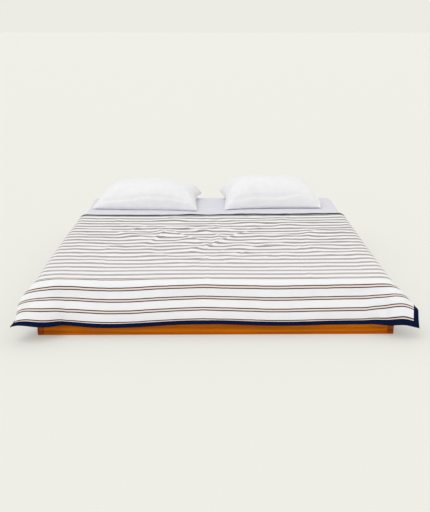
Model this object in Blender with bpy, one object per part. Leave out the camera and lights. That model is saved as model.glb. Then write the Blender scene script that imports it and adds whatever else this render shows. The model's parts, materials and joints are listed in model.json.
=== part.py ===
"""Duvet on a bed: a light striped duvet laid over a low platform bed with a fitted sheet and two pillows.

Metres, +Z up, +Y towards the head of the bed, floor at z = 0 under the middle of the mattress.
"""
import math

import bmesh
import bpy
from mathutils import Matrix, Vector

# ---- driving sizes -------------------------------------------------------------------------------------------------
GAP = 0.0003                      # air left between pieces that touch
MATTRESS_W = 1.830                # across the bed
MATTRESS_L = 1.900                # foot to head
MATTRESS_T = 0.160
TOPPER_SIDE = 0.0028              # straight side of the comfort layer, below its rounded edge
CORNER_R = 0.060                  # mattress corners seen from above
EDGE_R = 0.034                    # mattress edges seen from the side
RAIL_T = 0.032
SIDE_CLEAR = 0.0095               # between the mattress and each side rail
END_CLEAR = 0.0045                # between the mattress and each end rail
PLATFORM_H = 0.140
SINK = 0.016                      # the mattress sits this deep inside the rails
SLAT_T = 0.018
SLAT_W = 0.100
SLAT_COUNT = 10
LEDGER_T = 0.030
LEDGER_H = 0.034
BEAM_W = 0.045
LEG_R = 0.025
LEG_H = 0.040
LEG_SPACING = 0.620
BRACKET = 0.045                   # length of each leg of the corner angle
BRACKET_T = 0.0025
BRACKET_H = 0.050
SCREW_R = 0.0026
SCREW_HEAD_R = 0.0055
SCREW_LEN = 0.024
SHEET_T = 0.0012
SHEET_DOWN = 0.012                # the fitted sheet stops this far above the mattress underside
SIDE_HANG = 0.235                 # duvet beyond the mattress on each side, measured flat
DUVET_FOOT_DROP = 0.270           # cloth beyond the start of the foot rounding
BARE_HEAD = 0.545                 # from the duvet's head edge to the mattress's head edge
TURN_DOWN = 0.350                 # from the duvet's head edge to the fold line
BACK_T = 0.0010
FILL_T = 0.0040
FRONT_T = 0.0010
BORDER_W = 0.035                  # navy binding at the sides and the head
FOOT_BORDER_W = 0.024
SIDE_TILT = math.radians(22.0)    # how far the side drop leans out
FOOT_TILT = math.radians(20.0)
EAR_TILT = math.radians(50.0)     # how far the free corners flare
PILLOW_L = 0.760
PILLOW_D = 0.440
PILLOW_T = 0.190
CASE_T = 0.0012
PILLOW_BACK = 0.150               # pillow middles from the mattress's head edge
LEFT_INSET, RIGHT_INSET = 0.425, 0.465   # pillow middles from the mattress's sides
LEFT_TURN, RIGHT_TURN = math.radians(-5.0), math.radians(3.0)

# ---- sizes that follow ---------------------------------------------------------------------------------------------
RAIL_IN_X = MATTRESS_W / 2 + SIDE_CLEAR
RAIL_IN_Y = MATTRESS_L / 2 + END_CLEAR
PLATFORM_W = 2 * (RAIL_IN_X + RAIL_T)
PLATFORM_L = 2 * (RAIL_IN_Y + RAIL_T)
SLAT_TOP = PLATFORM_H - SINK
SLAT_BOTTOM = SLAT_TOP - SLAT_T
MATTRESS_Z = SLAT_TOP + GAP
MATTRESS_TOP = MATTRESS_Z + MATTRESS_T
SHEET_Z = MATTRESS_TOP + GAP
SHEET_TOP = SHEET_Z + SHEET_T
DUVET_Z = SHEET_TOP + GAP         # underside of the duvet
DUVET_T = BACK_T + FILL_T + FRONT_T + 2 * GAP
COVER_R = EDGE_R + SHEET_T + 2 * GAP + 0.0006
FLAT_X = MATTRESS_W / 2 - EDGE_R
FLAT_Y = MATTRESS_L / 2 - EDGE_R
DUVET_HEAD_Y = MATTRESS_L / 2 - BARE_HEAD
FOLD_Y = DUVET_HEAD_Y - TURN_DOWN
HEM_U = MATTRESS_W / 2 + SIDE_HANG
HEM_V = -FLAT_Y - DUVET_FOOT_DROP
PILLOW_Y = MATTRESS_L / 2 - PILLOW_BACK
PILLOWS = (("left", LEFT_INSET - MATTRESS_W / 2, PILLOW_Y, LEFT_TURN, -1.0),
           ("right", MATTRESS_W / 2 - RIGHT_INSET, PILLOW_Y, RIGHT_TURN, 1.0))


def material(name, color, rough, metal=0.0):
    m = bpy.data.materials.new(name)
    m.use_nodes = True
    b = m.node_tree.nodes["Principled BSDF"]
    b.inputs["Base Color"].default_value = (*color, 1.0)
    b.inputs["Roughness"].default_value = rough
    b.inputs["Metallic"].default_value = metal
    m.diffuse_color = (*color, 1.0)
    return m


WOOD = (0.58, 0.24, 0.05)
PINE = (0.72, 0.52, 0.30)
STEEL = (0.60, 0.61, 0.62)
WHITE = (0.90, 0.90, 0.90)
NAVY = (0.01, 0.02, 0.07)
GREY = (0.66, 0.66, 0.70)
FOAM = (0.85, 0.80, 0.66)
WADDING = (0.93, 0.93, 0.91)


def add(name, bm, color, rough=0.8, metal=0.0):
    bmesh.ops.triangulate(bm, faces=bm.faces[:], quad_method="FIXED", ngon_method="BEAUTY")
    bmesh.ops.recalc_face_normals(bm, faces=bm.faces[:])
    me = bpy.data.meshes.new(name)
    bm.to_mesh(me)
    bm.free()
    ob = bpy.data.objects.new(name, me)
    ob.data.materials.append(material(name, color, rough, metal))
    bpy.context.scene.collection.objects.link(ob)
    return ob


def block(name, lo, hi, color, rough=0.5, metal=0.0, bevel=0.0):
    bm = bmesh.new()
    mid = [(a + b) / 2 for a, b in zip(lo, hi)]
    size = [b - a for a, b in zip(lo, hi)]
    bmesh.ops.create_cube(bm, size=1.0, matrix=Matrix.Translation(mid) @ Matrix.Diagonal((*size, 1.0)))
    if bevel:
        bmesh.ops.bevel(bm, geom=bm.edges[:], offset=bevel, segments=1, profile=0.5, affect="EDGES", material=-1)
    return add(name, bm, color, rough, metal)


def rod(bm, radius, start, end, sides=16):
    axis = Vector(end) - Vector(start)
    turn = axis.to_track_quat("Z", "Y").to_matrix().to_4x4()
    place = Matrix.Translation((Vector(start) + Vector(end)) / 2) @ turn
    return bmesh.ops.create_cone(bm, cap_ends=True, segments=sides, radius1=radius, radius2=radius,
                                 depth=axis.length, matrix=place)


def loft(bm, rings, wrap=False):
    """Skin closed rings of equal count; ends are capped unless the rings wrap round."""
    loops = [[bm.verts.new(p) for p in ring] for ring in rings]
    n = len(loops[0])
    pairs = list(zip(loops, loops[1:])) + ([(loops[-1], loops[0])] if wrap else [])
    for a, b in pairs:
        for i in range(n):
            j = (i + 1) % n
            bm.faces.new((a[i], a[j], b[j], b[i]))
    if not wrap:
        bm.faces.new(loops[0][::-1])
        bm.faces.new(loops[-1])


def cup(bm, outer, inner):
    """Shell between two lofts that share their last, open end."""
    out, ins = ([[bm.verts.new(p) for p in ring] for ring in rings] for rings in (outer, inner))
    n = len(out[0])
    for a, b in list(zip(out, out[1:])) + list(zip(ins, ins[1:])) + [(out[-1], ins[-1])]:
        for i in range(n):
            j = (i + 1) % n
            bm.faces.new((a[i], a[j], b[j], b[i]))
    bm.faces.new(out[0])
    bm.faces.new(ins[0])


def round_rect(half_x, half_y, radius, z, steps=5):
    pts = []
    for k, (sx, sy) in enumerate(((1, 1), (-1, 1), (-1, -1), (1, -1))):
        for i in range(steps + 1):
            a = math.pi / 2 * (k + i / steps)
            pts.append((sx * (half_x - radius) + radius * math.cos(a),
                        sy * (half_y - radius) + radius * math.sin(a), z))
    return pts


def edge_rings(half_x, half_y, z_low, z_high, r_low, r_high, steps=4):
    """Rings of a rounded block from its underside to its top."""
    out = []
    for i in range(steps + 1):
        a = math.pi / 2 * i / steps
        inset = r_low * (1 - math.sin(a))
        out.append((inset, z_low + r_low * (1 - math.cos(a))))
    for i in range(steps + 1):
        a = math.pi / 2 * i / steps
        inset = r_high * (1 - math.cos(a))
        out.append((inset, z_high - r_high * (1 - math.sin(a))))
    return [round_rect(half_x - s, half_y - s, CORNER_R - s * 0.9, z) for s, z in out]


# ---- platform ------------------------------------------------------------------------------------------------------
def build_platform():
    half_w, half_l = PLATFORM_W / 2, PLATFORM_L / 2
    bracket_z = SLAT_BOTTOM - 0.006 - BRACKET_H
    hole_z = bracket_z + BRACKET_H / 2
    screws = []
    for side, sx in (("left", -1), ("right", 1)):
        xs = sorted((sx * RAIL_IN_X, sx * half_w))
        rail = block("side_rail_" + side, (xs[0], -half_l, 0), (xs[1], half_l, PLATFORM_H), WOOD, bevel=0.002)
        xs = sorted((sx * (RAIL_IN_X - GAP), sx * (RAIL_IN_X - GAP - LEDGER_T)))
        top = SLAT_BOTTOM - GAP
        block("ledger_" + side, (xs[0], -RAIL_IN_Y + 0.06, top - LEDGER_H), (xs[1], RAIL_IN_Y - 0.06, top), PINE)
        drill(rail, [((sx * (RAIL_IN_X - 0.002), sy * (RAIL_IN_Y - BRACKET * 0.6), hole_z), (sx, 0, 0))
                     for sy in (-1, 1)])
    for end, sy in (("foot", -1), ("head", 1)):
        ys = sorted((sy * RAIL_IN_Y, sy * half_l))
        x = RAIL_IN_X - GAP
        rail = block(end + "_rail", (-x, ys[0], 0), (x, ys[1], PLATFORM_H), WOOD, bevel=0.002)
        drill(rail, [((sx * (RAIL_IN_X - BRACKET * 0.6), sy * (RAIL_IN_Y - 0.002), hole_z), (0, sy, 0))
                     for sx in (-1, 1)])
    block("centre_beam", (-BEAM_W / 2, -RAIL_IN_Y + GAP, LEG_H), (BEAM_W / 2, RAIL_IN_Y - GAP, SLAT_BOTTOM - GAP),
          PINE, bevel=0.002)
    for i in range(3):
        bm = bmesh.new()
        y = (i - 1) * LEG_SPACING
        rod(bm, LEG_R, (0, y, 0), (0, y, LEG_H - GAP), 24)
        add(f"centre_leg_{i + 1}", bm, PINE)
    pitch = (2 * RAIL_IN_Y - SLAT_W - 0.04) / (SLAT_COUNT - 1)
    for i in range(SLAT_COUNT):
        y = -RAIL_IN_Y + 0.02 + SLAT_W / 2 + i * pitch
        end = RAIL_IN_X - 0.003
        block(f"slat_{i + 1:02d}", (-end, y - SLAT_W / 2, SLAT_BOTTOM), (end, y + SLAT_W / 2, SLAT_TOP), PINE,
              bevel=0.0015)
    n = 0
    for sx in (-1, 1):
        for sy in (-1, 1):
            n += 1
            x0, y0 = sx * (RAIL_IN_X - 2 * GAP), sy * (RAIL_IN_Y - 2 * GAP)
            pts = [(0, 0), (BRACKET, 0), (BRACKET, BRACKET_T), (BRACKET_T, BRACKET_T), (BRACKET_T, BRACKET),
                   (0, BRACKET)]
            bm = bmesh.new()
            loft(bm, [[(x0 - sx * a, y0 - sy * b, z) for a, b in pts] for z in (bracket_z, bracket_z + BRACKET_H)])
            bracket = add(f"corner_bracket_{n}", bm, STEEL, 0.35, 1.0)
            holes = [((x0 - sx * 0.006, sy * (RAIL_IN_Y - BRACKET * 0.6), hole_z), (sx, 0, 0)),
                     ((sx * (RAIL_IN_X - BRACKET * 0.6), y0 - sy * 0.006, hole_z), (0, sy, 0))]
            drill(bracket, holes, 0.012)
            screws += [(h, sx, sy) for h in holes]
    for k, ((pos, way), _, _) in enumerate(screws):
        way = Vector(way)
        face = Vector(pos) + way * (0.006 - BRACKET_T - GAP)
        bm = bmesh.new()
        rings = []
        for radius, depth in ((SCREW_HEAD_R * 0.55, -0.0022), (SCREW_HEAD_R, -0.0008), (SCREW_HEAD_R, 0.0),
                              (SCREW_R, 0.0), (SCREW_R, SCREW_LEN - 0.004), (0.0006, SCREW_LEN)):
            side = way.orthogonal().normalized()
            up = way.cross(side)
            mid = face + way * depth
            rings.append([mid + radius * (math.cos(a) * side + math.sin(a) * up)
                          for a in (2 * math.pi * i / 12 for i in range(12))])
        loft(bm, rings)
        add(f"bracket_screw_{k + 1}", bm, STEEL, 0.3, 1.0)


def drill(ob, holes, depth=0.030):
    """Round pilot holes, cut with an exact boolean."""
    bm = bmesh.new()
    for pos, way in holes:
        rod(bm, SCREW_R + 0.0004, pos, Vector(pos) + Vector(way) * depth, 12)
    cutter = add(ob.name + "_cutter", bm, STEEL)
    mod = ob.modifiers.new("holes", "BOOLEAN")
    mod.operation = "DIFFERENCE"
    mod.solver = "EXACT"
    mod.object = cutter
    deps = bpy.context.evaluated_depsgraph_get()
    cut = bpy.data.meshes.new_from_object(ob.evaluated_get(deps))
    ob.modifiers.clear()
    ob.data = cut
    while len(ob.data.materials) > 1:
        ob.data.materials.pop()
    bpy.data.objects.remove(cutter)


# ---- mattress and fitted sheet -------------------------------------------------------------------------------------
def build_mattress():
    w, l = MATTRESS_W / 2, MATTRESS_L / 2
    seam = MATTRESS_TOP - EDGE_R - TOPPER_SIDE
    bm = bmesh.new()
    low = edge_rings(w, l, MATTRESS_Z, MATTRESS_TOP, 0.020, EDGE_R)[:5]
    loft(bm, low + [round_rect(w, l, CORNER_R, seam)])
    add("mattress_core", bm, FOAM, 0.9)
    bm = bmesh.new()
    high = edge_rings(w, l, MATTRESS_Z, MATTRESS_TOP, 0.020, EDGE_R, 5)[6:]
    loft(bm, [round_rect(w, l, CORNER_R, seam + GAP)] + high)
    add("mattress_topper", bm, WADDING, 0.9)
    bm = bmesh.new()
    grow = SHEET_T + GAP
    foot_z = MATTRESS_Z + 0.020 + SHEET_DOWN
    outer = edge_rings(w + grow, l + grow, MATTRESS_Z - grow, SHEET_TOP, 0.020, EDGE_R + grow, 5)[6:]
    inner = edge_rings(w + GAP, l + GAP, MATTRESS_Z - GAP, SHEET_Z, 0.020, EDGE_R + GAP, 5)[6:]
    loft(bm, outer[::-1] + [round_rect(w + grow, l + grow, CORNER_R, foot_z)]
         + [round_rect(w + GAP, l + GAP, CORNER_R, foot_z)] + inner)
    add("fitted_sheet", bm, GREY, 0.85)


# ---- duvet ---------------------------------------------------------------------------------------------------------
def drape(u, v, t):
    """Where the cloth point (u, v) lies, t above the cloth's underside."""
    a, b = max(abs(u) - FLAT_X, 0.0), max(-FLAT_Y - v, 0.0)
    s = math.hypot(a, b)
    way = math.atan2(a, b) if s > 0 else 0.0
    base = FOOT_TILT + (SIDE_TILT - FOOT_TILT) * way / (math.pi / 2)
    tilt = base + (EAR_TILT - base) * math.sin(2 * way) ** 2
    full = math.pi / 2 - tilt
    bend = min(s / COVER_R, full)
    rest = s - bend * COVER_R
    out = COVER_R * math.sin(bend) + rest * math.sin(tilt) + t * math.sin(bend)
    down = COVER_R * (1 - math.cos(bend)) + rest * math.cos(tilt) - t * math.cos(bend)
    side = math.copysign(1.0, u)
    x = side * (min(abs(u), FLAT_X) + out * math.sin(way))
    y = max(v, -FLAT_Y) - out * math.cos(way)
    return Vector((x, y, DUVET_Z - down))


def spread(lo, hi, stops):
    """lo, hi and every stop that lies strictly between them."""
    return [lo] + [s for s in stops if lo + 1e-6 < s < hi - 1e-6] + [hi]


def slab(name, us, vs, t0, t1, color):
    """One layer of cloth between two heights, over a grid of flat cloth lines."""
    bm = bmesh.new()
    sides = [[[bm.verts.new(drape(u, v, t)) for v in vs] for u in us] for t in (t0, t1)]
    nu, nv = len(us), len(vs)
    for k, g in enumerate(sides):
        for i in range(nu - 1):
            for j in range(nv - 1):
                q = (g[i][j], g[i + 1][j], g[i + 1][j + 1], g[i][j + 1])
                if (us[i] + us[i + 1]) * 1.0 > 0:
                    tris = ((q[0], q[1], q[2]), (q[0], q[2], q[3]))
                else:
                    tris = ((q[0], q[1], q[3]), (q[1], q[2], q[3]))
                for tri in tris:
                    bm.faces.new(tri if k else tri[::-1])
    lo, hi = sides
    rim = [(i, 0) for i in range(nu)] + [(nu - 1, j) for j in range(1, nv)]
    rim += [(i, nv - 1) for i in range(nu - 2, -1, -1)] + [(0, j) for j in range(nv - 2, 0, -1)]
    for p, q in zip(rim, rim[1:] + rim[:1]):
        (a, b), (c, d) = min(p, q), max(p, q)     # both sides of a joint share the same diagonal
        bm.faces.new((lo[a][b], lo[c][d], hi[c][d]))
        bm.faces.new((lo[a][b], hi[c][d], hi[a][b]))
    return add(name, bm, color)


def lines(start, hem):
    """Cloth lines over one rounding and its drop."""
    arc = COVER_R * (math.pi / 2 - SIDE_TILT)
    drop = hem - start
    return [start] + [start + arc * k / 5 for k in range(1, 6)] + [start + arc + (drop - arc) * k / 4
                                                                  for k in (1, 2, 3)]


def build_duvet():
    seam_u = FLAT_X + COVER_R * (math.pi / 2 - SIDE_TILT) + 0.004
    in_u, in_v, in_head = HEM_U - BORDER_W - GAP, HEM_V + FOOT_BORDER_W + GAP, DUVET_HEAD_Y - BORDER_W - GAP
    edge = lines(FLAT_X, HEM_U) + [in_u]
    u_stops = sorted([-s for s in edge] + edge)
    v_stops = sorted([-s for s in lines(FLAT_Y, -HEM_V)] + [in_v])
    f0, f1 = BACK_T + GAP, BACK_T + GAP + FILL_T
    p0, p1 = f1 + GAP, f1 + GAP + FRONT_T
    fold = FOLD_Y - GAP
    slab("duvet_back_panel", spread(-HEM_U, HEM_U, u_stops), spread(HEM_V, fold, v_stops), 0.0, BACK_T, WHITE)
    us, vs = spread(-in_u, in_u, u_stops), spread(in_v, fold, v_stops)
    slab("duvet_filling", us, vs, f0, f1, WADDING)
    slab("duvet_front_panel", us, vs, p0, p1, WHITE)
    slab("duvet_foot_border", spread(-HEM_U, HEM_U, u_stops), spread(HEM_V, HEM_V + FOOT_BORDER_W, v_stops), f0, p1, NAVY)
    side_vs = spread(in_v, fold, v_stops)
    slab("duvet_side_border_left", spread(-HEM_U, -HEM_U + BORDER_W, u_stops), side_vs, f0, p1, NAVY)
    slab("duvet_side_border_right", spread(HEM_U - BORDER_W, HEM_U, u_stops), side_vs, f0, p1, NAVY)

    head0 = FOLD_Y + GAP
    us = spread(-seam_u + GAP, seam_u - GAP, u_stops)
    slab("turndown_back_panel", us, [head0, DUVET_HEAD_Y], 0.0, BACK_T, WHITE)
    slab("turndown_filling", us, [head0, in_head], f0, f1, WADDING)
    slab("turndown_front_panel", us, [head0, in_head], p0, p1, WHITE)
    slab("turndown_head_border", us, [DUVET_HEAD_Y - BORDER_W, DUVET_HEAD_Y], f0, p1, NAVY)
    for side, sx in (("left", -1), ("right", 1)):
        def pair(a, b, sign=sx):
            return sorted((sign * a, sign * b))
        slab(f"flap_{side}_back_panel", pair(seam_u + GAP, HEM_U), [head0, DUVET_HEAD_Y], 0.0, BACK_T, WHITE)
        slab(f"flap_{side}_filling", pair(seam_u + GAP, in_u), [head0, in_head], f0, f1, WADDING)
        slab(f"flap_{side}_front_panel", pair(seam_u + GAP, in_u), [head0, in_head], p0, p1, WHITE)
        us = pair(seam_u + GAP, HEM_U)
        a, b = us if sx > 0 else us[::-1]
        inner = a + sx * (HEM_U - BORDER_W - seam_u - GAP)
        corner_border(f"flap_{side}_border", a, inner, b, head0, DUVET_HEAD_Y - BORDER_W, DUVET_HEAD_Y, f0, p1)


def corner_border(name, u0, u1, u2, v0, v1, v2, t0, t1):
    """L of border round the head corner of a flap."""
    flat = [(u0, v2), (u0, v1), (u1, v1), (u1, v0), (u2, v0), (u2, v1), (u2, v2), (u1, v2)]
    bm = bmesh.new()
    lo = [bm.verts.new(drape(u, v, t0)) for u, v in flat]
    hi = [bm.verts.new(drape(u, v, t1)) for u, v in flat]
    for ring in (lo, hi):
        bm.faces.new((ring[0], ring[1], ring[2], ring[7]))
        bm.faces.new((ring[7], ring[2], ring[5], ring[6]))
        bm.faces.new((ring[2], ring[3], ring[4], ring[5]))
    for i in range(8):
        j = (i + 1) % 8
        bm.faces.new((lo[i], lo[j], hi[j], hi[i]))
    return add(name, bm, NAVY)


# ---- pillows -------------------------------------------------------------------------------------------------------
STATIONS = (0.0, 0.02, 0.06, 0.13, 0.22, 0.34, 0.50, 0.66, 0.78, 0.87, 0.94, 0.985)


def pillow_rings(length, depth, thick, shrink, stations, place, base, flip):
    """Lens-shaped rings along a pillow from its sewn end to its open end."""
    rings = []
    for f in stations:
        x = (f - 0.5) * length
        plump = max(1 - abs(2 * f - 1) ** 2.6, 0.0) ** 0.62
        half_d = depth / 2 * (0.945 + 0.055 * abs(2 * f - 1) ** 3) - shrink
        up = max(thick * 0.72 * plump - shrink, 0.0008)
        dn = max(thick * 0.28 * plump - shrink, 0.0008)
        ring = []
        for i in range(20):
            a = 2 * math.pi * i / 20
            y = half_d * math.cos(a) if abs(math.cos(a)) > 1e-9 else 0.0
            s = math.sin(a)
            z = (up if s > 0 else dn) * math.copysign(abs(s) ** 1.25, s)
            ring.append(place @ Vector((flip * x, y, base + z)))
        rings.append(ring)
    return rings


def build_pillows():
    for side, x, y, turn, mouth in PILLOWS:
        place = Matrix.Translation((x, y, 0)) @ Matrix.Rotation(turn, 4, "Z")
        base = SHEET_TOP + GAP + PILLOW_T * 0.28
        outer = pillow_rings(PILLOW_L, PILLOW_D, PILLOW_T, 0.0, STATIONS, place, base, mouth)
        inner = pillow_rings(PILLOW_L, PILLOW_D, PILLOW_T, CASE_T, STATIONS[1:], place, base, mouth)
        bm = bmesh.new()
        cup(bm, outer, inner)
        add(f"pillowcase_{side}", bm, WHITE)
        bm = bmesh.new()
        loft(bm, pillow_rings(PILLOW_L, PILLOW_D, PILLOW_T, CASE_T + 0.0015, STATIONS[2:-1], place, base, mouth))
        add(f"pillow_filling_{side}", bm, WADDING)


for old in list(bpy.data.objects):
    bpy.data.objects.remove(old)
build_platform()
build_mattress()
build_duvet()
build_pillows()
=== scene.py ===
"""Looks for a light striped duvet on a low platform bed. Metres, +Z up, +Y to the head of the bed."""

import json
import math

import bmesh
import bpy
import numpy as np
from mathutils import Matrix, Vector

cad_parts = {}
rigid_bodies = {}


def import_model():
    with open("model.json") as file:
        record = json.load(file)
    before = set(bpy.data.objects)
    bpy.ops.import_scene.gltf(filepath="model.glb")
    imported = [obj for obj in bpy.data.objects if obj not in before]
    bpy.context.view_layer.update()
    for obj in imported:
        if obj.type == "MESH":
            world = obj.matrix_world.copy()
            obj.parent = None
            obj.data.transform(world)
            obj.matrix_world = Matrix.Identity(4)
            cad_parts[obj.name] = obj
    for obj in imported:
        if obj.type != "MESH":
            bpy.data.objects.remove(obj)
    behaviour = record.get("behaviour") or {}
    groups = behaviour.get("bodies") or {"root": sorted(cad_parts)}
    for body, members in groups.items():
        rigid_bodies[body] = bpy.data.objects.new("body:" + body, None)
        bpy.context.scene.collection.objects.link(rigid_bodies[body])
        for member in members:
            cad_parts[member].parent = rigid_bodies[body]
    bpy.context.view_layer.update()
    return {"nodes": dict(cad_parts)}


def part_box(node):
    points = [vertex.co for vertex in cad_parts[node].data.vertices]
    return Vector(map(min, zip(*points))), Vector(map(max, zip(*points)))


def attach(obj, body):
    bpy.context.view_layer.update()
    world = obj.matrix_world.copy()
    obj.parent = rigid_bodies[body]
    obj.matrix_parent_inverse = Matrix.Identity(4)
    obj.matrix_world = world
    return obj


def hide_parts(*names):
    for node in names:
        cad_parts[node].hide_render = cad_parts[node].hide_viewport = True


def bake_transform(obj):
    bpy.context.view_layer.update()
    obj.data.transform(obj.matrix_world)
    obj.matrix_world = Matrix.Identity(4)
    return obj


for old in list(bpy.data.objects):
    bpy.data.objects.remove(old)
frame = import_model()

# ---- sizes ---------------------------------------------------------------------------------------
SHEET_LOW, SHEET_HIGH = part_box("fitted_sheet")
SHEET_TOP = SHEET_HIGH.z
MATTRESS_X = SHEET_HIGH.x                 # half width over the fitted sheet
MATTRESS_Y = SHEET_HIGH.y
EDGE_R = 0.036                            # rounding of the made-up mattress
CLOTH_W = 2.300                           # flat duvet, hem to hem
CLOTH_L = 1.598
CLOTH_T = 0.0060
HEAD_Y = 0.405                            # head hem of the duvet
FOLD_Y = 0.055                            # turn-down line
FOOT_V = HEAD_Y - CLOTH_L                 # flat position of the foot hem
BORDER = 0.035                            # navy binding at the sides and the head
FOOT_BORDER = 0.024                       # navy binding at the foot
SEAM_U = 0.882                            # where the side strips and the flaps start
STRIPE_PITCH = 0.0639
STRIPE_HALF = 0.0072                      # half the distance between the two lines of a pair
STRIPE_LINE = 0.0062
STRIPE_WANDER = 0.0060                    # how far the lines stray from straight
LAST_PAIR = CLOTH_L - 0.0505              # the pair nearest the head border, from the foot hem
TOP_PAIRS = 20.4                          # pitches from that pair to the foot edge of the bed
DROP_PITCH = 0.955                        # pitch where the cloth hangs, as a share of the pitch on top
THREADS = 900.0                           # fineness of the weave
SIM_STEP = 0.025
SIM_FRAMES = 50
CLOTH_GAP = 0.004                         # distance the simulated cloth keeps from the bed and itself
FINE_STEP = 0.0085


# ---- node helper ---------------------------------------------------------------------------------
class Net:
    """Shader sockets that work in Python sums."""

    def __init__(self, tree, socket=None):
        self.tree, self.socket = tree, socket

    def make(self, kind, settings=(), inputs=(), out=0):
        node = self.tree.nodes.new(kind)
        for key, value in dict(settings).items():
            setattr(node, key, value)
        for key, value in dict(inputs).items():
            if isinstance(value, Net):
                self.tree.links.new(value.socket, node.inputs[key])
            else:
                node.inputs[key].default_value = value
        return Net(self.tree, node.outputs[out])

    def math(self, operation, *values):
        return self.make("ShaderNodeMath", {"operation": operation}, enumerate(values))

    def __add__(self, other):
        return self.math("ADD", self, other)

    __radd__ = __add__

    def __sub__(self, other):
        return self.math("SUBTRACT", self, other)

    def __rsub__(self, other):
        return self.math("SUBTRACT", other, self)

    def __mul__(self, other):
        return self.math("MULTIPLY", self, other)

    __rmul__ = __mul__

    def __truediv__(self, other):
        return self.math("DIVIDE", self, other)

    def ramp(self, low, high, to_low=0.0, to_high=1.0, kind="LINEAR"):
        values = {0: self, 1: low, 2: high, 3: to_low, 4: to_high}
        return self.make("ShaderNodeMapRange", {"interpolation_type": kind}, values)

    def mix(self, a, b):
        """Colour a where this is 0, colour b where it is 1."""
        return self.make("ShaderNodeMix", {"data_type": "RGBA"}, {0: self, 6: paint(a), 7: paint(b)}, 2)

    def part(self, index):
        return self.make("ShaderNodeSeparateXYZ", (), {0: self}, index)

    def stretch(self, *scale):
        return self.make("ShaderNodeVectorMath", {"operation": "MULTIPLY"}, {0: self, 1: scale})

    def noise(self, scale, detail=2.0, rough=0.5):
        return self.make("ShaderNodeTexNoise", (), {"Vector": self, "Scale": scale, "Detail": detail,
                                                    "Roughness": rough})


def paint(colour):
    return colour if isinstance(colour, Net) else (*colour, 1.0)


def material(name, colour, rough, bump=None, depth=0.0005, metal=0.0, sheen=0.0, shine=0.5):
    """Principled material; colour and bump may be functions of (net, object coordinates, uv)."""
    m = bpy.data.materials.new(name)
    m.use_nodes = True
    tree = m.node_tree
    shader = tree.nodes["Principled BSDF"]
    net = Net(tree)
    space = net.make("ShaderNodeTexCoord", out=3)
    uv = net.make("ShaderNodeTexCoord", out=2)
    value = colour(net, space, uv) if callable(colour) else colour
    if isinstance(value, Net):
        tree.links.new(value.socket, shader.inputs["Base Color"])
    else:
        shader.inputs["Base Color"].default_value = (*value, 1.0)
    shader.inputs["Roughness"].default_value = rough
    shader.inputs["Metallic"].default_value = metal
    shader.inputs["Sheen Weight"].default_value = sheen
    shader.inputs["Sheen Roughness"].default_value = 0.5
    shader.inputs["Specular IOR Level"].default_value = shine
    if bump:
        height = bump(net, space, uv)
        ridge = net.make("ShaderNodeBump", (), {"Strength": 1.0, "Distance": depth, "Height": height})
        tree.links.new(ridge.socket, shader.inputs["Normal"])
    return m


def weave(net, space, uv):
    """Fine threads both ways, with a soft unevenness."""
    across = net.math("SINE", uv.part(0) * THREADS)
    along = net.math("SINE", uv.part(1) * THREADS)
    return across * along * 0.5 + space.noise(260.0, 2.0) * 0.6 + space.noise(60.0, 2.0) * 0.5


def striped(net, space, uv):
    """Pairs of thin brown lines across the bed on white, with a warm tint inside each pair."""
    drift = space.stretch(9.0, 2.0, 2.0).noise(1.0, 2.0) - 0.5
    v = uv.part(1) + drift * STRIPE_WANDER
    top_edge = LAST_PAIR - TOP_PAIRS * STRIPE_PITCH
    v = v - net.math("MAXIMUM", top_edge - v, 0.0) * (1 / DROP_PITCH - 1)
    turn = (v - LAST_PAIR) / STRIPE_PITCH
    off = net.math("ABSOLUTE", turn - net.math("ROUND", turn)) * STRIPE_PITCH
    line = net.math("ABSOLUTE", off - STRIPE_HALF)
    thread = space.noise(220.0, 2.0)
    line = line - (v - top_edge).ramp(0.0, 0.9, 0.0, 0.0015)         # the lines look heavier towards the head
    mask = line.ramp(STRIPE_LINE * 0.42, STRIPE_LINE * 0.58, 1.0, 0.0)
    inside = off.ramp(STRIPE_HALF - 0.0022, STRIPE_HALF - 0.0012, 1.0, 0.0)
    ground = space.noise(14.0, 2.0).ramp(0.3, 0.7).mix((0.855, 0.86, 0.925), (0.885, 0.885, 0.94))
    tinted = (inside * 0.85).mix(ground, (0.88, 0.74, 0.68))
    brown = thread.ramp(0.3, 0.7).mix((0.034, 0.006, 0.006), (0.062, 0.014, 0.013))
    return (mask * 0.99).mix(tinted, brown)


def plain(a, b, scale=18.0):
    """One colour with a faint drift between two shades."""
    return lambda net, space, uv: space.noise(scale, 3.0).ramp(0.3, 0.7).mix(a, b)


def grain(axis, dark, light):
    """Wood with its grain along one axis."""
    squeeze = [11.0, 11.0, 11.0]
    squeeze[axis] = 0.55

    def colour(net, space, uv):
        long = space.stretch(*squeeze)
        wander = long.noise(1.4, 3.0)
        rings = net.math("SINE", space.part(2) * 190.0 + wander * 16.0)
        fine = space.stretch(*[s * 26.0 for s in squeeze]).noise(1.0, 3.0, 0.6)
        tone = rings * 0.16 + wander * 0.55 + fine * 0.45
        return tone.ramp(0.25, 0.85).mix(dark, light)
    return colour


def pores(axis):
    """Short fine pores along the grain."""
    squeeze = [420.0, 420.0, 420.0]
    squeeze[axis] = 14.0
    return lambda net, space, uv: space.stretch(*squeeze).noise(1.0, 2.0)


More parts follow.
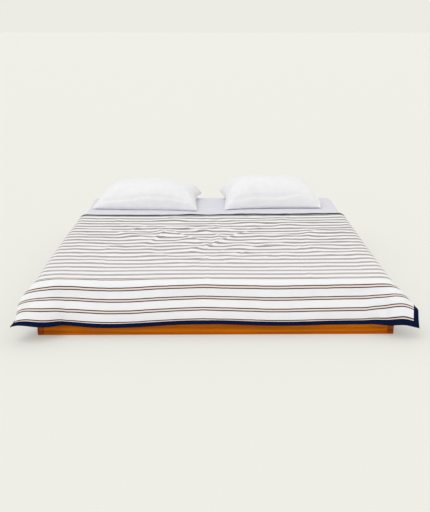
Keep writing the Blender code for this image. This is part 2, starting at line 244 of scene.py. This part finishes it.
COTTON = {"bump": weave, "depth": 0.00035, "sheen": 0.12, "shine": 0.25}
M_STRIPED = material("striped_cotton", striped, 0.9, **COTTON)
M_BACK = material("white_cotton_back", plain((0.86, 0.86, 0.88), (0.9, 0.9, 0.91)), 0.9, **COTTON)
M_NAVY = material("navy_cotton", plain((0.0008, 0.0045, 0.030), (0.0016, 0.008, 0.045), 60.0), 0.8,
                  bump=weave, depth=COTTON["depth"], shine=0.08)
M_CASE = material("white_cotton", plain((0.83, 0.83, 0.885), (0.87, 0.87, 0.92)), 0.9, **COTTON)
M_GREY = material("grey_cotton", plain((0.70, 0.70, 0.79), (0.74, 0.74, 0.83)), 0.9, **COTTON)
M_TICKING = material("mattress_ticking", plain((0.76, 0.74, 0.70), (0.82, 0.80, 0.76)), 0.9, **COTTON)
M_RAIL_X = material("rail_wood_across", grain(0, (0.34, 0.070, 0.0005), (0.64, 0.165, 0.001)), 0.42,
                    bump=pores(0), depth=0.0003, shine=0.05)
M_RAIL_Y = material("rail_wood_along", grain(1, (0.20, 0.035, 0.003), (0.46, 0.10, 0.005)), 0.42,
                    bump=pores(1), depth=0.0003, shine=0.05)
M_SLAT = material("slat_wood", grain(0, (0.52, 0.33, 0.15), (0.76, 0.57, 0.34)), 0.6,
                  bump=pores(0), depth=0.0003)
M_BEAM = material("beam_wood", grain(1, (0.50, 0.31, 0.14), (0.74, 0.55, 0.32)), 0.6,
                  bump=pores(1), depth=0.0003)
M_STEEL = material("zinc_steel", plain((0.55, 0.56, 0.58), (0.66, 0.67, 0.68), 90.0), 0.34, metal=1.0)


# ---- mesh helpers --------------------------------------------------------------------------------
def solid(name, verts, faces, mat, uvs=None, normals=None):
    """A smooth mesh object with a material and, if given, flat cloth coordinates and vertex normals."""
    me = bpy.data.meshes.new(name)
    me.from_pydata([tuple(map(float, v)) for v in verts], [], [tuple(map(int, f)) for f in faces])
    me.materials.append(mat)
    me.polygons.foreach_set("use_smooth", [True] * len(me.polygons))
    if uvs is not None:
        layer = me.uv_layers.new(name="flat")
        loops = np.empty(len(me.loops), np.int32)
        me.loops.foreach_get("vertex_index", loops)
        layer.data.foreach_set("uv", np.asarray(uvs, np.float32)[loops].ravel())
    if normals is not None:
        me.normals_split_custom_set_from_vertices([tuple(map(float, n)) for n in normals])
    ob = bpy.data.objects.new(name, me)
    bpy.context.scene.collection.objects.link(ob)
    return ob


def spline(at, low, high, count):
    """Weights that read a row of count samples, low to high, at the places asked, as a cubic B-spline."""
    t = (np.asarray(at) - low) / (high - low) * (count - 1)
    k = np.clip(np.floor(t).astype(int), 0, count - 2)
    f = t - k
    basis = ((1 - f) ** 3 / 6, (3 * f ** 3 - 6 * f ** 2 + 4) / 6,
             (-3 * f ** 3 + 3 * f ** 2 + 3 * f + 1) / 6, f ** 3 / 6)
    out = np.zeros((len(t), count))
    rows = np.arange(len(t))
    for shift, b in zip((-1, 0, 1, 2), basis):
        i = k + shift
        before, after = i < 0, i > count - 1
        np.add.at(out, (rows, np.clip(i, 0, count - 1)), np.where(before | after, 0, b))
        np.add.at(out, (rows[before], np.zeros(before.sum(), int)), 2 * b[before])
        np.add.at(out, (rows[before], np.ones(before.sum(), int)), -b[before])
        np.add.at(out, (rows[after], np.full(after.sum(), count - 1)), 2 * b[after])
        np.add.at(out, (rows[after], np.full(after.sum(), count - 2)), -b[after])
    return out


def lattice(u, v, size_u, size_v, seed):
    """Smooth seeded noise over the cloth, about -1 to 1, with bumps of the sizes given."""
    nu, nv = int((u[-1] - u[0]) / size_u) + 3, int((v[-1] - v[0]) / size_v) + 3
    values = np.random.default_rng(seed).normal(0, 0.9, (nv, nu))
    return spline(v, v[0], v[-1], nv) @ values @ spline(u, u[0], u[-1], nu).T


def normals_of(grid):
    du, dv = np.gradient(grid, axis=1), np.gradient(grid, axis=0)
    n = np.cross(du, dv)
    return n / np.maximum(np.linalg.norm(n, axis=2, keepdims=True), 1e-12)


# ---- cloth simulation ----------------------------------------------------------------------------
def collider(low, high, bevel, flare=(0.0, 0.0, 0.0, 0.0)):
    """A rounded block that the cloth rests on; flare moves its left foot, left head, right foot and right
    head corners across the bed."""
    bm = bmesh.new()
    mid, size = (Vector(low) + Vector(high)) / 2, Vector(high) - Vector(low)
    bmesh.ops.create_cube(bm, size=1.0, matrix=Matrix.Translation(mid) @ Matrix.Diagonal((*size, 1.0)))
    for v in bm.verts:
        v.co.x += flare[(v.co.x > 0) * 2 + (v.co.y > 0)]
    bmesh.ops.bevel(bm, geom=bm.edges[:], offset=bevel, segments=4, profile=0.5, affect="EDGES",
                    material=-1)
    me = bpy.data.meshes.new("collider")
    bm.to_mesh(me)
    bm.free()
    ob = bpy.data.objects.new("collider", me)
    bpy.context.scene.collection.objects.link(ob)
    ob.modifiers.new("collision", "COLLISION")
    ob.collision.thickness_outer = 0.003
    ob.collision.thickness_inner = 0.05
    ob.collision.cloth_friction = 15.0
    ob.collision.damping = 0.5
    return ob


def settle(ob, against, held):
    """Runs the cloth and returns its points; the cloth and the colliders are removed."""
    mod = ob.modifiers.new("Cloth", "CLOTH")
    s = mod.settings
    ob.vertex_groups.new(name="held").add([int(i) for i in np.flatnonzero(held)], 1.0, "REPLACE")
    s.vertex_group_mass = "held"
    s.quality = 6
    s.mass = 0.23
    s.air_damping = 1.0
    s.tension_stiffness = s.compression_stiffness = 40.0
    s.shear_stiffness = 40.0 / 3
    s.bending_stiffness = 11.0
    s.tension_damping = s.compression_damping = s.shear_damping = 10.0
    s.bending_damping = 1.0
    mod.collision_settings.collision_quality = 3
    mod.collision_settings.distance_min = CLOTH_GAP
    mod.collision_settings.use_self_collision = True
    mod.collision_settings.self_distance_min = CLOTH_GAP
    scene = bpy.context.scene
    scene.frame_start, scene.frame_end = 1, SIM_FRAMES
    mod.point_cache.frame_start, mod.point_cache.frame_end = 1, SIM_FRAMES
    for f in range(1, SIM_FRAMES + 1):
        scene.frame_set(f)
    done = ob.evaluated_get(bpy.context.evaluated_depsgraph_get()).to_mesh()
    co = np.zeros(len(done.vertices) * 3, np.float32)
    done.vertices.foreach_get("co", co)
    for o in [ob, *against]:
        bpy.data.objects.remove(o)
    scene.frame_set(1)
    return co.reshape(-1, 3).astype(float)


def grid_faces(nv, nu):
    """The quads of a grid of points, nu to a row."""
    j, i = np.meshgrid(np.arange(nv - 1), np.arange(nu - 1), indexing="ij")
    a = (j * nu + i).ravel()
    return np.stack([a, a + 1, a + nu + 1, a + nu], axis=1)


def rise_to(x):
    """A smooth step from 0 to 1."""
    x = np.clip(x, 0, 1)
    return x * x * (3 - 2 * x)


def bell(x, mid, width):
    return np.exp(-((x - mid) / width) ** 2)


def step(x, soft):
    """A softer step from 0 to 1, half way at 0."""
    return 1 / (1 + np.exp(-x / soft))


def askew(u, v):
    """How far each point lies towards the head of the bed, because the duvet was laid a little unevenly."""
    foot = 0.018 * rise_to(u + 0.15) + 0.015 * bell(u, -0.80, 0.15) + 0.022 * bell(u, -0.08, 0.33) - 0.001
    head = 0.034 * rise_to(u / 0.95) + 0.010 * rise_to(-u / 0.95)
    return foot + (head - foot) * (v - FOOT_V) / CLOTH_L


def draped():
    """The draped shape, as rows of points from the foot hem to the head hem."""
    nu, nv = round(CLOTH_W / SIM_STEP) + 1, round(CLOTH_L / SIM_STEP) + 1
    u, v = np.linspace(-CLOTH_W / 2, CLOTH_W / 2, nu), np.linspace(FOOT_V, HEAD_Y, nv)
    uu, vv = np.meshgrid(u, v)
    start = np.stack([uu, vv + askew(uu, vv), np.full_like(uu, SHEET_TOP + 0.0045)], axis=2)
    held = ((np.abs(uu) < 0.80) & (vv > -0.80)).ravel()              # the flat middle of the bed
    cloth = solid("cloth", start.reshape(-1, 3), grid_faces(nv, nu), M_BACK)
    rail_low, rail_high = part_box("side_rail_left")
    against = [collider((-MATTRESS_X, -MATTRESS_Y, 0.10), (MATTRESS_X, MATTRESS_Y, SHEET_TOP), 0.034,
                        flare=(-0.060, -0.001, 0.028, 0.003)),
               collider((rail_low.x, rail_low.y, 0.0), (-rail_low.x, rail_high.y, rail_high.z), 0.004)]
    return set_corners(settle(cloth, against, held).reshape(nv, nu, 3), uu, vv)


# the two free corners: flat place (across, up from the foot hem), then where that point hangs (x, y, z)
LEFT_CORNER = ((-1.150, 0.00, -1.075, -1.085, 0.090), (-1.080, 0.00, -1.000, -1.105, 0.110),
               (-1.000, 0.00, -0.945, -1.085, 0.085), (-0.915, 0.00, -0.877, -1.055, 0.080),
               (-1.120, 0.05, -1.067, -1.080, 0.127), (-1.070, 0.11, -1.043, -1.060, 0.168),
               (-1.030, 0.17, -1.020, -1.020, 0.214), (-1.150, 0.06, -1.050, -1.030, 0.085),
               (-1.150, 0.12, -1.025, -0.985, 0.075), (-1.150, 0.20, -1.000, -0.930, 0.065),
               (-1.150, 0.28, -0.985, -0.870, 0.058))
RIGHT_CORNER = ((1.150, 0.00, 1.070, -1.070, 0.070), (1.080, 0.00, 1.000, -1.075, 0.085),
                (1.000, 0.00, 0.948, -1.055, 0.081), (0.915, 0.00, 0.885, -1.030, 0.072),
                (1.150, 0.06, 1.062, -1.045, 0.124), (1.150, 0.105, 1.062, -1.010, 0.152),
                (1.090, 0.12, 1.035, -1.000, 0.188), (1.030, 0.19, 0.995, -0.960, 0.224),
                (1.150, 0.17, 1.045, -0.955, 0.105), (1.150, 0.25, 1.005, -0.910, 0.075),
                (1.150, 0.32, 0.985, -0.855, 0.060))


def set_corners(grid, uu, vv):
    """Moves the cloth smoothly so that the corner points land where they are set, and stays still further
    in."""
    nv, nu = uu.shape
    spots = np.stack([uu.ravel(), vv.ravel() - FOOT_V], axis=1)
    reach = 0.13                                                     # how far one point draws the cloth along

    def near(a, b):
        return np.exp(-((a[:, None] - b[None]) ** 2).sum(axis=2) / (2 * reach ** 2))

    out = grid.copy()
    for side, pins in ((-1, LEFT_CORNER), (1, RIGHT_CORNER)):
        still = [(side * 0.80, d) for d in (0.0, 0.1, 0.2, 0.3, 0.4, 0.5)] + [(side * 0.92, 0.30)]
        still += [(side * x, d) for d in (0.43, 0.52) for x in (0.80, 0.89, 0.98, 1.07, 1.15)]
        at = np.array([p[:2] for p in pins] + still)
        row = np.clip(np.round(at[:, 1] / CLOTH_L * (nv - 1)).astype(int), 0, nv - 1)
        col = np.clip(np.round((at[:, 0] / CLOTH_W + 0.5) * (nu - 1)).astype(int), 0, nu - 1)
        move = np.zeros((len(at), 3))
        move[:len(pins)] = np.array([p[2:] for p in pins]) - grid[row, col][:len(pins)]
        pull = np.linalg.solve(near(at, at) + 0.012 * np.eye(len(at)), move)
        fade = rise_to((side * uu - 0.74) / 0.12) * rise_to((FOOT_V + 0.58 - vv) / 0.12)
        out += (near(spots, at) @ pull).reshape(nv, nu, 3) * fade[:, :, None]
    return out


def lines_across():
    """Fine cloth lines in u and v, with lines exactly at the borders, the seams and the fold."""
    def fill(stops):
        out = [stops[0]]
        for a, b in zip(stops, stops[1:]):
            n = max(1, round((b - a) / FINE_STEP))
            out += [a + (b - a) * k / n for k in range(1, n + 1)]
        return np.array(out)

    half = CLOTH_W / 2
    rim = 0.004                                                      # a close line that rounds the hem
    u = fill([-half, -half + rim, -half + BORDER, -SEAM_U, SEAM_U, half - BORDER, half - rim, half])
    v = fill([FOOT_V, FOOT_V + rim, FOOT_V + FOOT_BORDER, FOLD_Y, HEAD_Y - BORDER, HEAD_Y - rim, HEAD_Y])
    return u, v


def creases(u, v):
    """Height of the fold creases, puckers and soft waves above the draped cloth."""
    uu, vv = np.meshgrid(u, v)
    top = step(vv + 0.86, 0.03) * step(0.86 - np.abs(uu), 0.03)
    h = np.zeros_like(uu)
    # lengthwise fold ridges, a quarter of the width apart
    for mid, height, seed in ((-0.64, 0.0060, 1), (-0.047, 0.0100, 2), (0.51, 0.0060, 3)):
        line = mid + 0.004 * lattice(u, v, 9.0, 0.10, seed)
        swell = 0.55 + 0.45 * lattice(u, v, 9.0, 0.05, seed + 10)
        strong = 0.35 + 0.65 * bell(vv, -0.42, 0.34)
        h += height * strong * np.clip(swell, 0.1, 1.6) * np.exp(-np.abs(uu - line) / 0.014)
        h -= height * 0.4 * strong * bell(uu, line, 0.045)
    # long shallow waves across the bed and small crinkles in the middle
    h += 0.0032 * lattice(u, v, 0.42, 0.12, 21) * top
    middle = bell(vv, -0.14, 0.50) * (0.55 + 0.45 * bell(uu, -0.05, 0.66))
    h += 0.0060 * np.exp(-np.abs(lattice(u, v, 0.17, 0.12, 27)) / 0.16) * middle * top
    h += 0.0088 * lattice(u, v, 0.095, 0.060, 22) * middle * top
    h += 0.0045 * lattice(u, v, 0.048, 0.045, 23) * middle * top
    # slanting puckers that fan out of the middle crease: both ends, then the height
    for x0, y0, x1, y1, height in ((-0.03, -0.34, 0.20, -0.02, 0.0084), (-0.06, -0.30, -0.30, 0.02, 0.0072),
                                   (0.04, -0.52, 0.30, -0.42, 0.0056), (-0.42, -0.28, -0.30, -0.02, 0.0068),
                                   (0.10, -0.16, 0.34, 0.10, 0.0064), (-0.62, -0.05, -0.42, 0.12, 0.0056)):
        length = math.hypot(x1 - x0, y1 - y0)
        along = ((uu - x0) * (x1 - x0) + (vv - y0) * (y1 - y0)) / length
        side = ((uu - x0) * (y1 - y0) - (vv - y0) * (x1 - x0)) / length
        h += height * bell(along, length / 2, length * 0.5) * np.exp(-np.abs(side) / 0.013)
    # slow waves along the hanging foot and sides
    h += 0.0040 * lattice(u, v, 0.34, 2.0, 31) * step(-0.98 - vv, 0.03)
    h += 0.0030 * lattice(u, v, 2.0, 0.30, 32) * step(np.abs(uu) - 0.96, 0.03)
    return h


def build_duvet():
    """Front, back and binding of each region, all cut from one fine grid."""
    base = draped()
    u, v = lines_across()
    across = spline(u, -CLOTH_W / 2, CLOTH_W / 2, base.shape[1])
    along = spline(v, FOOT_V, HEAD_Y, base.shape[0])
    mid = np.einsum("vj,jik,ui->vuk", along, base, across)
    up = normals_of(mid)
    mid = mid + up * creases(u, v)[:, :, None]
    floor = SHEET_TOP + CLOTH_T / 2 + 0.0004
    inner = (np.abs(mid[:, :, 0]) < MATTRESS_X - EDGE_R) & (mid[:, :, 1] > -MATTRESS_Y + EDGE_R)
    mid[:, :, 2] = np.where(inner, np.maximum(mid[:, :, 2], floor), mid[:, :, 2])
    up = normals_of(mid)
    uu, vv = np.meshgrid(u, v)
    flat_uv = np.stack([uu + CLOTH_W / 2, vv - FOOT_V], axis=2)
    half = CLOTH_W / 2
    edge = np.minimum.reduce([half - np.abs(uu), vv - FOOT_V, HEAD_Y - vv])    # distance to the nearest hem
    cell_u, cell_v = np.meshgrid((u[1:] + u[:-1]) / 2, (v[1:] + v[:-1]) / 2)
    in_binding = ((half - np.abs(cell_u) < BORDER) | (HEAD_Y - cell_v < BORDER)
                  | (cell_v - FOOT_V < FOOT_BORDER))
    regions = {"duvet": np.abs(cell_u) < SEAM_U,
               "side_left": (cell_v < FOLD_Y) & (cell_u < -SEAM_U),
               "side_right": (cell_v < FOLD_Y) & (cell_u > SEAM_U),
               "flap_left": (cell_v > FOLD_Y) & (cell_u < -SEAM_U),
               "flap_right": (cell_v > FOLD_Y) & (cell_u > SEAM_U)}
    thick = CLOTH_T / 2
    plump = thick * np.clip(edge / 0.030, 0.45, 1.0) ** 0.6
    made = {}
    for region, cells in regions.items():
        inside, band = cells & ~in_binding, cells & in_binding
        puffed = up * plump[:, :, None]
        made[region] = {
            "front": patch(region + "_front", mid + puffed, up, inside, flat_uv, M_STRIPED),
            "back": patch(region + "_back", mid - puffed, -up, inside, flat_uv, M_BACK, flip=True),
            "binding": binding(region + "_binding", mid, up, plump, edge, band, flat_uv)}
    return made


def patch(name, points, normals, cells, flat_uv, mat, flip=False):
    """The cells asked for, as a mesh of their own."""
    nv, nu = points.shape[:2]
    faces = grid_faces(nv, nu)[cells.ravel()]
    if flip:
        faces = faces[:, ::-1]
    used, index = np.unique(faces, return_inverse=True)
    kept = [a.reshape(-1, a.shape[2])[used] for a in (points, flat_uv, normals)]
    return solid(name, kept[0], index.reshape(-1, 4), mat, kept[1], kept[2])


def binding(name, mid, up, plump, edge, band, flat_uv):
    """A folded strip round the hem: front face, turned edge and back face."""
    proud = 0.0007                                                   # the strip stands over the cloth
    lift = (plump + proud) * np.clip((edge + 0.0012) / 0.0042, 0.30, 1.0) ** 0.5
    nv, nu = mid.shape[:2]
    faces = grid_faces(nv, nu)[band.ravel()]
    count = nv * nu
    front, back = mid + up * lift[:, :, None], mid - up * lift[:, :, None]
    points = np.concatenate([front.reshape(-1, 3), back.reshape(-1, 3)])
    uvs = np.concatenate([flat_uv.reshape(-1, 2)] * 2)
    # close the outer hem with a wall
    walls = []
    for corner in range(4):
        a, b = faces[:, corner], faces[:, (corner + 1) % 4]
        on_hem = (edge.ravel()[a] < 1e-6) & (edge.ravel()[b] < 1e-6)
        a, b = a[on_hem], b[on_hem]
        walls.append(np.stack([b, a, a + count, b + count], axis=1))
    every = np.concatenate([faces, faces[:, ::-1] + count] + walls)
    used, index = np.unique(every, return_inverse=True)
    return solid(name, points[used], index.reshape(-1, 4), M_NAVY, uvs[used])


# ---- fitted sheet and mattress -------------------------------------------------------------------
def rounded(name, half_x, half_y, low, high, r_top, r_low, corner, mat, open_below=False):
    """Rounded block, or a cap when it is open below, as rings from the top middle outwards and down."""
    round_steps, side_steps = 10, 8
    corner_steps, straight_steps = 24, 30
    quarter = math.pi / 2
    edge = [(r_top * (1 - math.sin(quarter * k / round_steps)),
             high - r_top * (1 - math.cos(quarter * k / round_steps))) for k in range(round_steps + 1)]
    sides = [(0.0, high - r_top - (high - r_top - low - r_low) * k / side_steps)
             for k in range(1, side_steps + 1)]
    under = [(r_low * (1 - math.cos(quarter * k / round_steps)),
              low + r_low * (1 - math.sin(quarter * k / round_steps))) for k in range(1, round_steps + 1)]

    def outline(inset):
        rad = max(corner - inset, 0.01)
        signs = ((1, 1), (-1, 1), (-1, -1), (1, -1))

        def spot(sign, angle):
            return (sign[0] * (half_x - inset - rad) + rad * math.cos(angle),
                    sign[1] * (half_y - inset - rad) + rad * math.sin(angle))

        pts = []
        for k, sign in enumerate(signs):
            pts += [spot(sign, quarter * (k + i / corner_steps)) for i in range(corner_steps + 1)]
            (ax, ay), (bx, by) = pts[-1], spot(signs[(k + 1) % 4], quarter * (k + 1))
            pts += [(ax + (bx - ax) * i / straight_steps, ay + (by - ay) * i / straight_steps)
                    for i in range(1, straight_steps)]
        return np.array(pts)

    first, last = outline(r_top), outline(r_low)
    n = len(first)
    rings = [np.column_stack([first * f, np.full(n, high)]) for f in (0.02, 0.2, 0.4, 0.6, 0.8, 0.93)]
    rings += [np.column_stack([outline(inset), np.full(n, z)]) for inset, z in edge + sides + under]
    if not open_below:
        rings += [np.column_stack([last * f, np.full(n, low)]) for f in (0.6, 0.02)]
    points = np.concatenate(rings)
    quads = []
    for k in range(len(rings) - 1):
        for i in range(n):
            a, b = k * n + i, k * n + (i + 1) % n
            quads.append((a, a + n, b + n, b))
    quads.append(tuple(range(n)))
    if not open_below:
        quads.append(tuple(range(len(points) - 1, len(points) - n - 1, -1)))
    ob = solid(name, points, quads, mat, points[:, :2] + points[:, 2:] * 0.7)
    bm = bmesh.new()
    bm.from_mesh(ob.data)
    bmesh.ops.recalc_face_normals(bm, faces=bm.faces[:])
    bm.to_mesh(ob.data)
    bm.free()
    return ob


# ---- pillows -------------------------------------------------------------------------------------
def pillow(name, length, depth, place, high, seed, mouth):
    """A filled pillow case: pointed corners, a seam round the middle and a flat open end on the mouth
    side, -1 for its left and 1 for its right."""
    nu, nv = 121, 81
    u, v = np.linspace(-1, 1, nu), np.linspace(-1, 1, nv)
    uu, vv = np.meshgrid(u, v)
    x = length / 2 * uu * (1 - 0.075 * (1 - vv ** 2) * uu ** 2)
    y = depth / 2 * vv * (1 - 0.105 * (1 - uu ** 2) * vv ** 2)
    x += 0.006 * lattice(u, v, 9.0, 0.5, seed) * np.abs(uu) ** 6
    y += 0.007 * lattice(u, v, 0.45, 9.0, seed + 1) * np.abs(vv) ** 6
    full = np.clip(uu * mouth * 0.5 + 0.5, 0, 1)                     # 0 at the sewn end, 1 at the open end
    a = np.clip(np.abs(uu) * (1 + 0.075 * full), 0, 1)
    puff = (1 - a ** 3.4) ** 0.62 * (1 - np.abs(vv) ** 2.8) ** 0.60
    to_rim = np.minimum((1 - np.abs(uu)) * length / 2, (1 - np.abs(vv)) * depth / 2)
    corner = (np.abs(uu) * np.abs(vv)) ** 3
    front = np.clip(-vv, 0, 1) ** 2
    seam_high = 0.050
    rim = seam_high - 0.020 * front - 0.018 * corner + 0.008 * lattice(u, v, 0.5, 0.6, seed + 2)
    soft = 0.006 * lattice(u, v, 0.55, 0.60, seed + 3) * puff
    # gathers along the four seams, then pulls that run out of the four corners
    gathers = 0.0065 * lattice(u, v, 0.085, 0.40, seed + 4) * np.exp(-(1 - np.abs(vv)) * depth / 2 / 0.045)
    gathers += 0.0040 * lattice(u, v, 0.30, 0.095, seed + 5) * np.exp(-(1 - np.abs(uu)) * length / 2 / 0.055)
    pulls = np.zeros_like(uu)
    for k, (cu, cv) in enumerate(((-1, -1), (1, -1), (-1, 1), (1, 1))):
        dx, dy = (uu - cu) * -cu * length / 2, (vv - cv) * -cv * depth / 2
        far, angle = np.hypot(dx, dy), np.arctan2(dy, dx + 1e-9)
        pulls += 0.0085 * np.sin(angle * (7 + k) + seed + k) * np.clip(far / 0.06, 0, 1) * bell(far, 0, 0.15)
    # the case folds under itself along the front
    bend = vv + 0.885 + 0.035 * lattice(u, v, 0.35, 9.0, seed + 6)
    tuck = (0.010 * bell(bend, -0.06, 0.05) - 0.015 * bell(bend, 0.0, 0.030)) * (1 - uu ** 4)
    thin = np.clip(to_rim / 0.02, 0, 1)
    lip = 0.0012 + 0.0016 * np.clip(to_rim / 0.004, 0, 1)
    under = rim - 0.062 * puff ** 0.55 - (0.4 * gathers + 0.5 * pulls) * thin - lip
    low_z = np.where(to_rim > 0.001, 0.5 * (under + np.hypot(under, 0.010)), rim - lip)    # flat on the bed
    top_z = rim + (high - seam_high) * puff + soft + (gathers + pulls + tuck) * thin + lip
    top_z = np.maximum(top_z, low_z + 0.002)
    top, low = np.stack([x, y, top_z], axis=2), np.stack([x, y, low_z], axis=2)
    count = nu * nv
    faces = grid_faces(nv, nu)
    ring = np.concatenate([np.arange(nu), np.arange(1, nv) * nu + nu - 1, count - 2 - np.arange(nu - 1),
                           np.arange(nv - 2, 0, -1) * nu])
    after = np.roll(ring, -1)
    wall = np.stack([ring + count, after + count, after, ring], axis=1)
    points = np.concatenate([top.reshape(-1, 3), low.reshape(-1, 3)])
    flat = np.stack([uu * length / 2, vv * depth / 2], axis=2).reshape(-1, 2)
    ob = solid(name, points, np.concatenate([faces, faces[:, ::-1] + count, wall]), M_CASE,
               np.concatenate([flat, flat + (0.0, 1.0)]))
    ob.data.transform(place)
    lowest = min(p.co.z for p in ob.data.vertices)
    ob.data.transform(Matrix.Translation((0, 0, SHEET_TOP + 0.0008 - lowest)))
    return ob


# ---- put together --------------------------------------------------------------------------------
duvet = build_duvet()
main_nodes = {"front": ["duvet_front_panel", "duvet_filling", "turndown_front_panel", "turndown_filling"],
              "back": ["duvet_back_panel", "turndown_back_panel"],
              "binding": ["duvet_foot_border", "duvet_side_border_left", "duvet_side_border_right",
                          "turndown_head_border"]}
for kind, ob in duvet["duvet"].items():
    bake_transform(ob)
    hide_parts(*main_nodes[kind])
for side, sx in (("left", -1), ("right", 1)):
    for kind, ob in duvet["side_" + side].items():
        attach(ob, "duvet")
    for kind, ob in duvet["flap_" + side].items():
        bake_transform(ob)
        nodes = {"front": [f"flap_{side}_front_panel", f"flap_{side}_filling"],
                 "back": [f"flap_{side}_back_panel"],
                 "binding": [f"flap_{side}_border"]}
        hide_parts(*nodes[kind])

sheet = rounded("bed_sheet", MATTRESS_X, MATTRESS_Y, SHEET_LOW.z - 0.004, SHEET_TOP, EDGE_R, 0.012, 0.062,
                M_GREY, open_below=True)
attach(sheet, "mattress")
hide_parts("fitted_sheet")
core_low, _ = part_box("mattress_core")
mattress = rounded("mattress_body", MATTRESS_X - 0.003, MATTRESS_Y - 0.003, core_low.z, SHEET_TOP - 0.002,
                   0.034, 0.02, 0.06, M_TICKING)
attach(mattress, "mattress")
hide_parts("mattress_core", "mattress_topper")

PILLOW_DEPTH = 0.47
for side, x, y, turn, seed, length, high, mouth in (("left", -0.475, 0.765, -4.0, 5, 0.760, 0.176, -1),
                                                    ("right", 0.425, 0.800, 3.0, 6, 0.725, 0.192, 1)):
    place = Matrix.Translation((x, y, 0)) @ Matrix.Rotation(math.radians(turn), 4, "Z")
    ob = pillow("pillow_" + side, length, PILLOW_DEPTH, place, high, seed, mouth)
    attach(ob, "pillow_" + side)
    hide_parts("pillowcase_" + side, "pillow_filling_" + side)

# ---- platform materials --------------------------------------------------------------------------
for name, ob in frame["nodes"].items():
    if ob.hide_render:
        continue
    mat = (M_RAIL_Y if name.startswith("side_rail") else M_RAIL_X if name.endswith("_rail") else
           M_SLAT if name.startswith("slat") else M_STEEL if name.startswith(("corner", "bracket")) else M_BEAM)
    ob.data.materials.clear()
    ob.data.materials.append(mat)

# ---- stage, light and camera ---------------------------------------------------------------------
pale_floor = material("pale_floor", (0.560, 0.560, 0.545), 0.9, shine=0.2)
glow = pale_floor.node_tree.nodes["Principled BSDF"].inputs          # keeps the shadows on the floor light
glow["Emission Color"].default_value = (0.831, 0.831, 0.806, 1.0)
glow["Emission Strength"].default_value = 0.325
REACH = 60.0                                                         # half the width of the floor
floor = solid("floor", [(x * REACH, y * REACH, 0) for x, y in ((-1, -1), (1, -1), (1, 1), (-1, 1))],
              [(0, 1, 2, 3)], pale_floor)
floor.data.polygons.foreach_set("use_smooth", [False])
world = bpy.data.worlds.new("pale_room")
world.use_nodes = True
world.node_tree.nodes["Background"].inputs["Color"].default_value = (0.838, 0.838, 0.776, 1.0)
world.node_tree.nodes["Background"].inputs["Strength"].default_value = 1.0
bpy.context.scene.world = world

sun = bpy.data.objects.new("soft_key", bpy.data.lights.new("soft_key", "SUN"))
sun.data.energy = 0.75
sun.data.angle = 0.7
sun.location = (-2.0, -3.0, 6.0)
sun.rotation_euler = (-sun.location).to_track_quat("-Z", "Y").to_euler()
bpy.context.scene.collection.objects.link(sun)

CAMERA_PLACE = (-0.0539, -4.6236, 1.6485)
PITCH, YAW, ROLL = 0.3194, 0.0130, 0.0017                            # down, to the right and tilted, in radians
camera = bpy.data.objects.new("camera", bpy.data.cameras.new("camera"))
camera.data.sensor_width = 36.0
camera.data.lens = 51.90
forward = Vector((math.sin(YAW) * math.cos(PITCH), math.cos(YAW) * math.cos(PITCH), -math.sin(PITCH)))
right = Vector((math.cos(YAW), -math.sin(YAW), 0))
up = right.cross(forward)
across, rise = math.cos(ROLL) * right + math.sin(ROLL) * up, math.cos(ROLL) * up - math.sin(ROLL) * right
aim = Matrix((across, rise, -forward)).transposed().to_4x4()
camera.matrix_world = Matrix.Translation(CAMERA_PLACE) @ aim
bpy.context.scene.collection.objects.link(camera)
bpy.context.scene.camera = camera
bpy.context.scene.view_settings.view_transform = "Standard"
